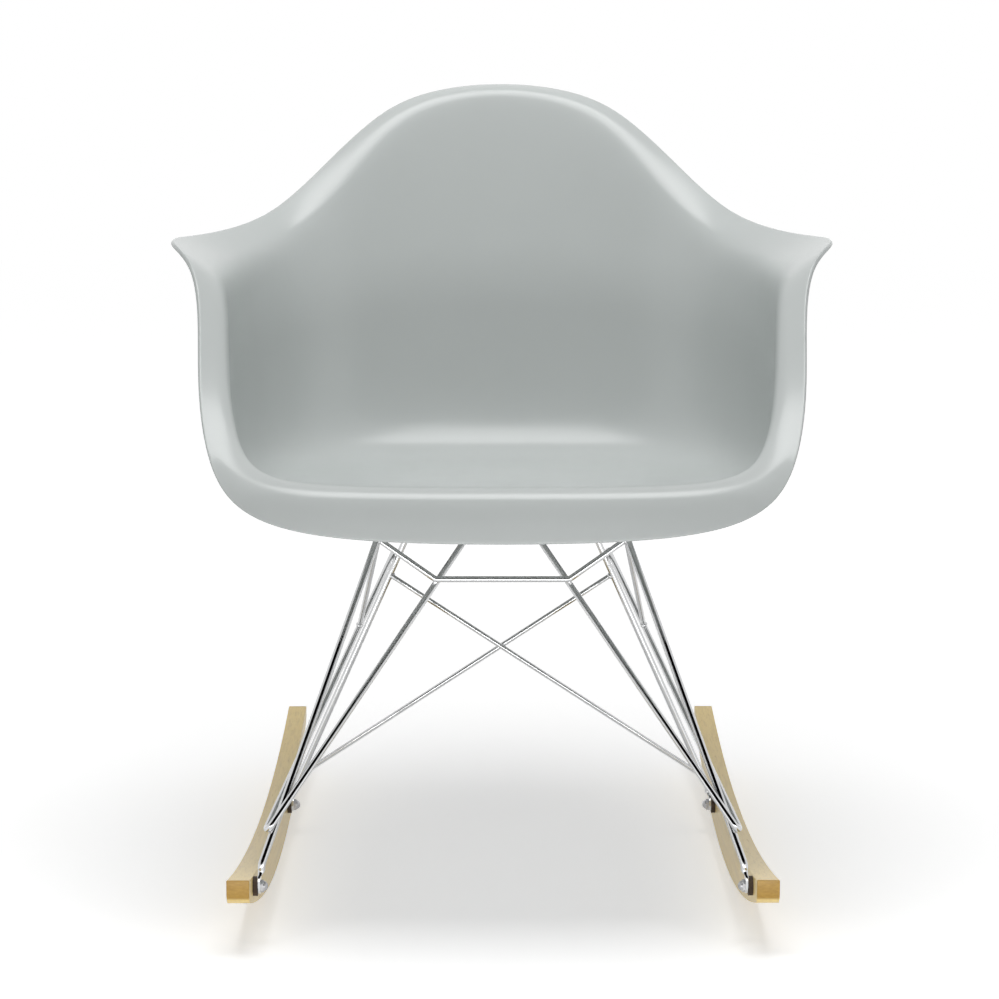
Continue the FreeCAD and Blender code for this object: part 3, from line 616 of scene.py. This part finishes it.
def press_foot(form, end, side):
    """Carry the round end on into a thin flat foot with a round tip, flush with the rod's outer side."""
    face = min(form.faces, key=lambda item: (item.calc_center_median() - end).length)
    ring = [loop.vert for loop in face.loops]
    bmesh.ops.delete(form, geom=[face], context="FACES_ONLY")
    around = [((vertex.co - end) / (FRAME_DIAMETER * MM / 2)) for vertex in ring]
    for below, half_thick, half_deep in FOOT_SECTIONS:
        flat = min(below / FOOT_SWAGED, 1.0)
        middle_x = side * (FOOT_OUTER_X - half_thick) * MM
        places = []
        for unit in around:
            corner = 1.0 / max(abs(unit.x), abs(unit.y))
            square = 1.0 + (min(corner, FOOT_CORNER) - 1.0) * flat
            x = middle_x + max(-half_thick, min(half_thick, unit.x * square * half_thick)) * MM
            y = end.y + max(-half_deep, min(half_deep, unit.y * square * half_deep)) * MM
            places.append(Vector((x, y, end.z - below * MM)))
        ring = next_ring(form, ring, places)
    bmesh.ops.contextual_create(form, geom=ring_edges(form, ring))


def touching(first, second):
    """Distance between the axes of two welded rods."""
    return ((first + second) / 2 - WELD_SINK) * MM


def cross_rod_ends():
    """Ends of the rod that hangs under the side frames' runs."""
    cross_y = V_ROD[2].y
    share = (cross_y - FRAME_ROD[2].y) / (FRAME_ROD[3].y - FRAME_ROD[2].y)
    run = FRAME_ROD[2].lerp(FRAME_ROD[3], share)
    drop = touching(FRAME_DIAMETER, CROSS_DIAMETER)
    end = Vector((run.x - FRAME_DIAMETER * MM / 2, cross_y, run.z - drop))
    return [end, mirrored(end)]


def tray_corners():
    """Corners of the tray rod, which lies against the front of the V rods."""
    leg = V_ROD[2] - V_ROD[1]
    ahead = touching(V_DIAMETER, CROSS_DIAMETER) * math.hypot(leg.y, leg.z) / leg.z
    bend = at_height(V_ROD[1], V_ROD[2], TRAY_BEND_HEIGHT) - Vector((TRAY_BEND_OUT * MM, ahead, 0))
    end = at_height(*FRONT_STRUT, TRAY_END_HEIGHT)
    return [end, bend, mirrored(bend), mirrored(end)]


def wire_base():
    """All rods of the base, and the beads where they are welded."""
    cross = cross_rod_ends()
    chrome_rod("under_seat_rod", cross, [], CROSS_DIAMETER, "under_seat_cross_rod")
    tray = tray_corners()
    chrome_rod("front_tray_rod", tray, [TRAY_BEND, TRAY_BEND], CROSS_DIAMETER, "tray_rod")

    brace = [at_height(*FRONT_STRUT, SHORT_BRACE_TOP), at_height(V_ROD[1], V_ROD[0], SHORT_BRACE_FOOT)]
    for name, side in SIDES:
        side_frame(name, side)
        chrome_rod("v_wire_" + name, sided(V_ROD, side), [HOOK_BEND], V_DIAMETER, "v_rod_" + name)
        chrome_rod("short_brace_rod_" + name, sided(brace, side), [], BRACE_DIAMETER, "short_brace_" + name)

    crossing = [at_height(*REAR_STRUT, CROSSING_TOP), mirrored(at_height(*REAR_STRUT, CROSSING_LOW))]
    apart = touching(BRACE_DIAMETER, BRACE_DIAMETER) / 2
    for name, side in (("front", -1), ("rear", 1)):
        away = Vector((0, side * apart, 0))
        points = [point + away for point in sided(crossing, side)]
        chrome_rod("crossing_rod_" + name, points, [], BRACE_DIAMETER, "x_brace_" + name)
    weld_beads(cross, tray, brace, crossing)


def weld_beads(cross, tray, brace, crossing):
    """Small lumps of weld at every joint of two rods, left and right."""
    form = bmesh.new()
    for _, side in SIDES:
        weld, hook, leg_top = sided(V_ROD, side)
        side_bead(form, hook, leg_top, *sided(FRONT_STRUT, side))
        side_bead(form, weld, hook, *sided(REAR_STRUT, side))
        side_bead(form, hook, leg_top, *sided(tray[1:3], side))
        side_bead(form, *sided(cross[::-1], side), *sided(FRAME_ROD[2:4], side))
        lump(form, leg_top, leg_top - hook, *V_TOP_BEAD)
        end_bead(form, sided(brace[::-1], side), FRAME_DIAMETER, END_BEAD)
        end_bead(form, sided(brace, side), V_DIAMETER, END_BEAD)
        end_bead(form, sided(tray[1::-1], side), FRAME_DIAMETER, TRAY_END_BEAD)
        end_bead(form, sided(crossing[::-1], side), FRAME_DIAMETER, END_BEAD)
        end_bead(form, sided(crossing, side), FRAME_DIAMETER, END_BEAD)
    soften(form, math.pi)
    as_piece(form, "weld_beads", "chrome")


def end_bead(form, rod, other_diameter, shape):
    """Weld round a rod's end, on the skin of the rod that it meets."""
    way = (rod[1] - rod[0]).normalized()
    lump(form, rod[1] - way * (other_diameter * MM / 2), way, *shape)


def side_bead(form, *ends):
    """Weld in the corner between two rods that pass each other."""
    near, far = geometry.intersect_line_line(*ends)
    lump(form, near.lerp(far, 0.5), ends[1] - ends[0], *SIDE_BEAD)


def lump(form, place, way, wide, long):
    """A small uneven bead of weld, with its length along the way."""
    turn = Matrix.Translation(place) @ way.to_track_quat("Z", "Y").to_matrix().to_4x4()
    for vertex in bmesh.ops.create_icosphere(form, subdivisions=3, radius=MM)["verts"]:
        ripple = noise.noise(vertex.co * RIPPLE_DENSITY + place * RIPPLE_SHIFT)
        x, y, z = vertex.co * (1 + BEAD_RIPPLE * ripple)
        vertex.co = turn @ Vector((x * wide, y * wide, z * long))


# Rockers

ROCKER = {
    "half_length": 345,
    "width": 19.7,
    "outer_x": 237.3,
    "waist": 39.4,
    "top_radius": 1933,
    "top_low_y": -14,
    "front_radius": 1070,
    "rear_radius": 1250,
    "contact_y": -28,
    "tip_radius": 9,
    "edge_radius": 2.2,
}
ARC_STEPS = {"front": 40, "rear": 44, "top": 76}
RIM_TURN = 0.6
TIP_SEGMENTS = 8
RIM_SEGMENTS = 4


def swept(form, start, centre, radius, end_y, steps):
    """Turn a vertex about a centre until it is at end_y, which draws an arc of the rocker's outline."""
    arm = start.co - centre
    from_angle = math.atan2(arm.y, -arm.z)
    to_angle = math.asin((end_y - centre.y) / radius)
    drawn = bmesh.ops.spin(
        form,
        geom=[start],
        cent=centre,
        axis=(1, 0, 0),
        angle=to_angle - from_angle,
        steps=steps,
    )
    return [item for item in drawn["geom_last"] if isinstance(item, bmesh.types.BMVert)][0]


def rocker(name, side):
    """Wooden crescent: outline drawn with arcs, filled, given its width and rounded."""
    half = ROCKER["half_length"] * MM
    inner_x = side * (ROCKER["outer_x"] - ROCKER["width"]) * MM
    contact_y = ROCKER["contact_y"] * MM
    front_radius = ROCKER["front_radius"] * MM
    rear_radius = ROCKER["rear_radius"] * MM
    top_radius = ROCKER["top_radius"] * MM
    front_centre = Vector((inner_x, contact_y, front_radius))
    rear_centre = Vector((inner_x, contact_y, rear_radius))
    top_centre = Vector((inner_x, ROCKER["top_low_y"] * MM, ROCKER["waist"] * MM + top_radius))
    form = bmesh.new()
    front_low = front_radius - math.sqrt(front_radius ** 2 - (half + contact_y) ** 2)
    start = form.verts.new((inner_x, -half, front_low))
    lowest = swept(form, start, front_centre, front_radius, contact_y, ARC_STEPS["front"])
    rear_end = swept(form, lowest, rear_centre, rear_radius, half, ARC_STEPS["rear"])
    top_rear = form.verts.new((inner_x, half, top_z(half)))
    top_front = swept(form, top_rear, top_centre, top_radius, -half, ARC_STEPS["top"])
    form.edges.new((rear_end, top_rear))
    form.edges.new((top_front, start))
    bmesh.ops.contextual_create(form, geom=form.edges[:])
    face = form.faces[:]
    grown = bmesh.ops.extrude_face_region(form, geom=face)["geom"]
    width = Vector((side * ROCKER["width"] * MM, 0, 0))
    moved = [item for item in grown if isinstance(item, bmesh.types.BMVert)]
    bmesh.ops.translate(form, verts=moved, vec=width)
    bmesh.ops.recalc_face_normals(form, faces=form.faces)
    tips = [edge for edge in form.edges if is_tip(edge, half)]
    round_edges(form, tips, ROCKER["tip_radius"], TIP_SEGMENTS)
    rims = [edge for edge in form.edges if edge.calc_face_angle() > RIM_TURN]
    round_edges(form, rims, ROCKER["edge_radius"], RIM_SEGMENTS)
    soften(form)
    return as_piece(form, "wooden_rocker_" + name, "wood", "rocker_" + name)


def top_z(y):
    """Height of the rocker's top face, in metres."""
    radius = ROCKER["top_radius"] * MM
    return ROCKER["waist"] * MM + radius - math.sqrt(radius ** 2 - (y - ROCKER["top_low_y"] * MM) ** 2)


def is_tip(edge, half):
    """The sharp edge across the rocker's sole, at either end."""
    first, second = edge.verts
    crosswise = abs(first.co.x - second.co.x) > 0.01
    at_end = abs(abs(first.co.y) - half) < 0.0001
    return crosswise and at_end and first.co.z < top_z(first.co.y) - 0.01


def round_edges(form, edges, radius, segments):
    bmesh.ops.bevel(
        form,
        geom=edges,
        offset=radius * MM,
        segments=segments,
        profile=0.5,
        affect="EDGES",
        clamp_overlap=True,
        material=-1,
    )


moulded_shell()
wire_base()
for side_name, side_sign in SIDES:
    rocker(side_name, side_sign)
for entry in frame["record"]["subparts"]:
    if not frame["nodes"][entry["node"]].hide_render:
        smoothed_node(entry["node"], entry["material_slot"])


# Studio

FLOOR_SIZE = 30
FLOOR_GLOW_NEAR = 0.46
FLOOR_GLOW_FAR = 0.80
GLOW_GROWS = (0.6, 2.4)
SKY_ON_OBJECT = 0.22

# Lamps: place in metres, tilt and heading in degrees, width and height in metres, power in watts
LAMPS = {
    "overhead": ((0, -0.3, 2.5), 0, 0, 1.7, 1.3, 35),
    "front_left": ((-2.2, -2.3, 0.9), 82, -44, 0.4, 1.8, 2.5),
    "front_right": ((2.2, -2.3, 0.9), 82, 44, 0.4, 1.8, 2.5),
    "front_low": ((0, -1.35, 0.08), 104, 0, 1.6, 0.12, 5),
}

# The dark flag's outline in metres: distance from the middle of the set, and height
FLAG_OUTLINE = [(4.0, 1.0), (3.9, 1.9), (3.4, 2.9), (2.6, 3.7), (1.6, 4.2)]
FLAG_REACH = math.radians(58)
FLAG_STEPS = 32

# The photograph's camera: place, angles in degrees, and the picture in pixels
CAMERA_PLACE = mm(-9.9, -2484, 677)
CAMERA_PITCH = 7.46
CAMERA_HEADING = -0.18
FOCAL_PIXELS = 2569
PICTURE_PIXELS = 999
SENSOR_WIDTH = 36


def as_stage(form, name):
    """A finished form as part of the studio, not of the chair."""
    mesh = bpy.data.meshes.new(name)
    form.to_mesh(mesh)
    form.free()
    sheet = bpy.data.objects.new(name, mesh)
    bpy.context.scene.collection.objects.link(sheet)
    return sheet


def seen_directly(finish):
    """1 for what the camera sees, also in metal or through glass."""
    kinds = ("Is Camera Ray", "Is Glossy Ray", "Is Transmission Ray")
    rays = [finish.node("LightPath", out=kind) for kind in kinds]
    return (rays[0] + rays[1] + rays[2]).between(0.0, 1.0)


def dark_flag():
    """A dark sheet bent round the front, which only gloss shows: it draws the dark line along each rod."""
    form = bmesh.new()
    first = Matrix.Rotation(-FLAG_REACH, 4, "Z")
    points = [form.verts.new(first @ Vector((0, -away, height))) for away, height in FLAG_OUTLINE]
    lines = [form.edges.new(pair) for pair in zip(points, points[1:])]
    bmesh.ops.spin(
        form,
        geom=points + lines,
        cent=(0, 0, 0),
        axis=UP,
        angle=2 * FLAG_REACH,
        steps=FLAG_STEPS,
    )
    sheet = as_stage(form, "dark_flag")
    dark = Finish(bpy.data.materials.new("dark_flag"))
    dark.output(dark.node("BsdfDiffuse", {}, {"Color": solid(0.01, 0.01, 0.01)}))
    sheet.data.materials.append(dark.owner)
    sheet.visible_camera = False
    sheet.visible_diffuse = False
    sheet.visible_shadow = False


def pale_floor():
    """A white floor that keeps the chair's soft shadow, and glows more where the lamps don't reach."""
    white = Finish(bpy.data.materials.new("studio_floor"))
    plain = white.node("BsdfDiffuse", {}, {"Color": solid(0.90, 0.90, 0.90)})
    away = white.node("VectorMath", {"operation": "LENGTH"}, {0: white.place()}, out="Value")
    growth = (FLOOR_GLOW_FAR - FLOOR_GLOW_NEAR) * away.between(*GLOW_GROWS)
    strength = seen_directly(white) * (FLOOR_GLOW_NEAR + growth)
    glow = white.node("Emission", {}, {"Color": solid(1, 1, 1), "Strength": strength})
    white.output(white.node("AddShader", {}, {0: plain, 1: glow}))
    form = bmesh.new()
    bmesh.ops.create_grid(form, x_segments=1, y_segments=1, size=FLOOR_SIZE / 2)
    as_stage(form, "studio_floor").data.materials.append(white.owner)


def white_surroundings():
    """White for the eye and for gloss, and dimmer as light on the chair."""
    world = bpy.data.worlds.new("studio")
    bpy.context.scene.world = world
    sky = Finish(world)
    strength = SKY_ON_OBJECT + (1 - SKY_ON_OBJECT) * seen_directly(sky)
    sky.output(sky.node("Background", {}, {"Color": solid(1, 1, 1), "Strength": strength}))


def lamp(name, place, tilt, heading, width, height, watts):
    """A soft rectangular lamp that the camera doesn't see."""
    light = bpy.data.lights.new(name, "AREA")
    light.shape = "RECTANGLE"
    light.size = width
    light.size_y = height
    light.energy = watts
    holder = bpy.data.objects.new(name, light)
    holder.location = place
    holder.rotation_euler = (math.radians(tilt), 0, math.radians(heading))
    holder.visible_camera = False
    bpy.context.scene.collection.objects.link(holder)


def camera():
    """The photograph's viewpoint: 2.5 m ahead of the chair and a little above its seat."""
    lens = bpy.data.cameras.new("camera")
    lens.sensor_fit = "HORIZONTAL"
    lens.sensor_width = SENSOR_WIDTH
    lens.lens = FOCAL_PIXELS / PICTURE_PIXELS * SENSOR_WIDTH
    holder = bpy.data.objects.new("camera", lens)
    holder.location = CAMERA_PLACE
    pitch = Matrix.Rotation(math.radians(90 - CAMERA_PITCH), 3, "X")
    heading = Matrix.Rotation(math.radians(CAMERA_HEADING), 3, "Z")
    holder.rotation_euler = (heading @ pitch).to_euler()
    bpy.context.scene.collection.objects.link(holder)
    bpy.context.scene.camera = holder


pale_floor()
dark_flag()
white_surroundings()
for lamp_name, settings in LAMPS.items():
    lamp(lamp_name, *settings)
bpy.context.scene.view_settings.view_transform = "Standard"
camera()
